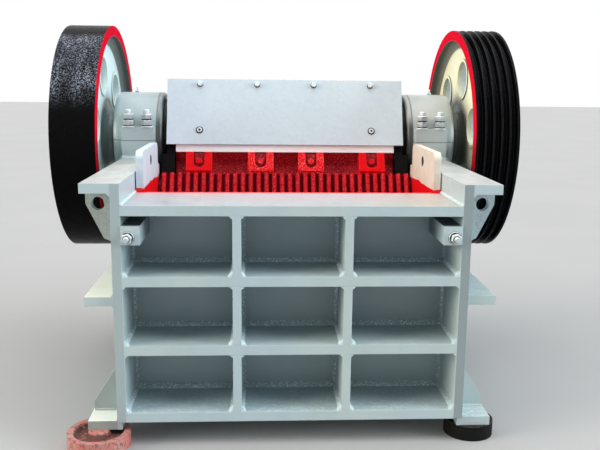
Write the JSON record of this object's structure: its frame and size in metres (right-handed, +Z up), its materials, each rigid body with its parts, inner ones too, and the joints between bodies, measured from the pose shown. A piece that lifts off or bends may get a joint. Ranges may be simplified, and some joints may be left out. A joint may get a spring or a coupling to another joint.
{
  "type": "jaw crusher",
  "caption": "Single-toggle jaw crusher with a wide feed mouth, ribbed welded frame, flywheel and grooved pulley on an eccentric shaft, standing on support discs.",
  "frame": {"origin": "on the ground at the middle of the overall length and width", "axes": "+X to the pulley side along the shaft, +Y from the feed front to the back, +Z up"},
  "size_m": [2.192, 1.786, 1.646],
  "materials": {
    "pale_paint": "semi-gloss",
    "red_paint": "gloss",
    "black_paint": "gloss",
    "bare_steel": "machined",
    "raw_casting": "as cast",
    "old_red_casting": "worn",
    "black_casting": "worn"
  },
  "bodies": {
    "frame": {"side_plate_left": "pale_paint", "side_plate_right": "pale_paint", "top_flange_left": "pale_paint", "top_flange_right": "pale_paint", "front_wall": "pale_paint", "front_shelf_bottom": "pale_paint", "front_shelf_middle": "pale_paint", "front_shelf_upper": "pale_paint", "front_uprights": "pale_paint", "feed_lip": "pale_paint", "rear_wall": "pale_paint", "rear_shelves": "pale_paint", "rear_uprights": "pale_paint", "fixed_jaw_plate": "red_paint", "cheek_plate_left": "pale_paint", "cheek_plate_right": "pale_paint", "clamp_blocks": "pale_paint", "lifting_brackets": "pale_paint", "side_ledges": "pale_paint", "front_feet": "pale_paint", "rear_feet": "pale_paint", "support_discs_left": "old_red_casting", "support_discs_right": "black_casting", "bearing_seat_left": "pale_paint", "bearing_seat_right": "pale_paint", "bearing_cap_left": "pale_paint", "bearing_cap_right": "pale_paint", "seal_rings": "black_paint", "toggle_plate": "raw_casting", "toggle_beam": "pale_paint", "toggle_shims": "bare_steel", "tension_rods": "bare_steel", "tension_springs": "raw_casting"},
    "rotor": {"eccentric_shaft": "bare_steel", "flywheel_rim": "black_paint", "flywheel_web": "pale_paint", "pulley_rim": "black_paint", "pulley_web": "pale_paint"},
    "swing_jaw": {"jaw_body": "raw_casting", "jaw_ribs": "raw_casting", "swing_jaw_plate": "red_paint", "jaw_wedges": "red_paint", "jaw_guard": "pale_paint", "guard_strip": "pale_paint", "lifting_eye": "bare_steel"}
  },
  "joints": [
    {"name": "shaft_spin", "type": "hinge", "parent": "frame", "child": "rotor", "pos_m": [0, 0.353, 1.106], "axis": [1, 0, 0], "continuous": true},
    {"name": "jaw_on_eccentric", "type": "hinge", "parent": "rotor", "child": "swing_jaw", "pos_m": [0, 0.353, 1.096], "axis": [1, 0, 0], "continuous": true}
  ],
  "couplings": [
    {"joint": "jaw_on_eccentric", "follows": "shaft_spin", "ratio": -1}
  ]
}
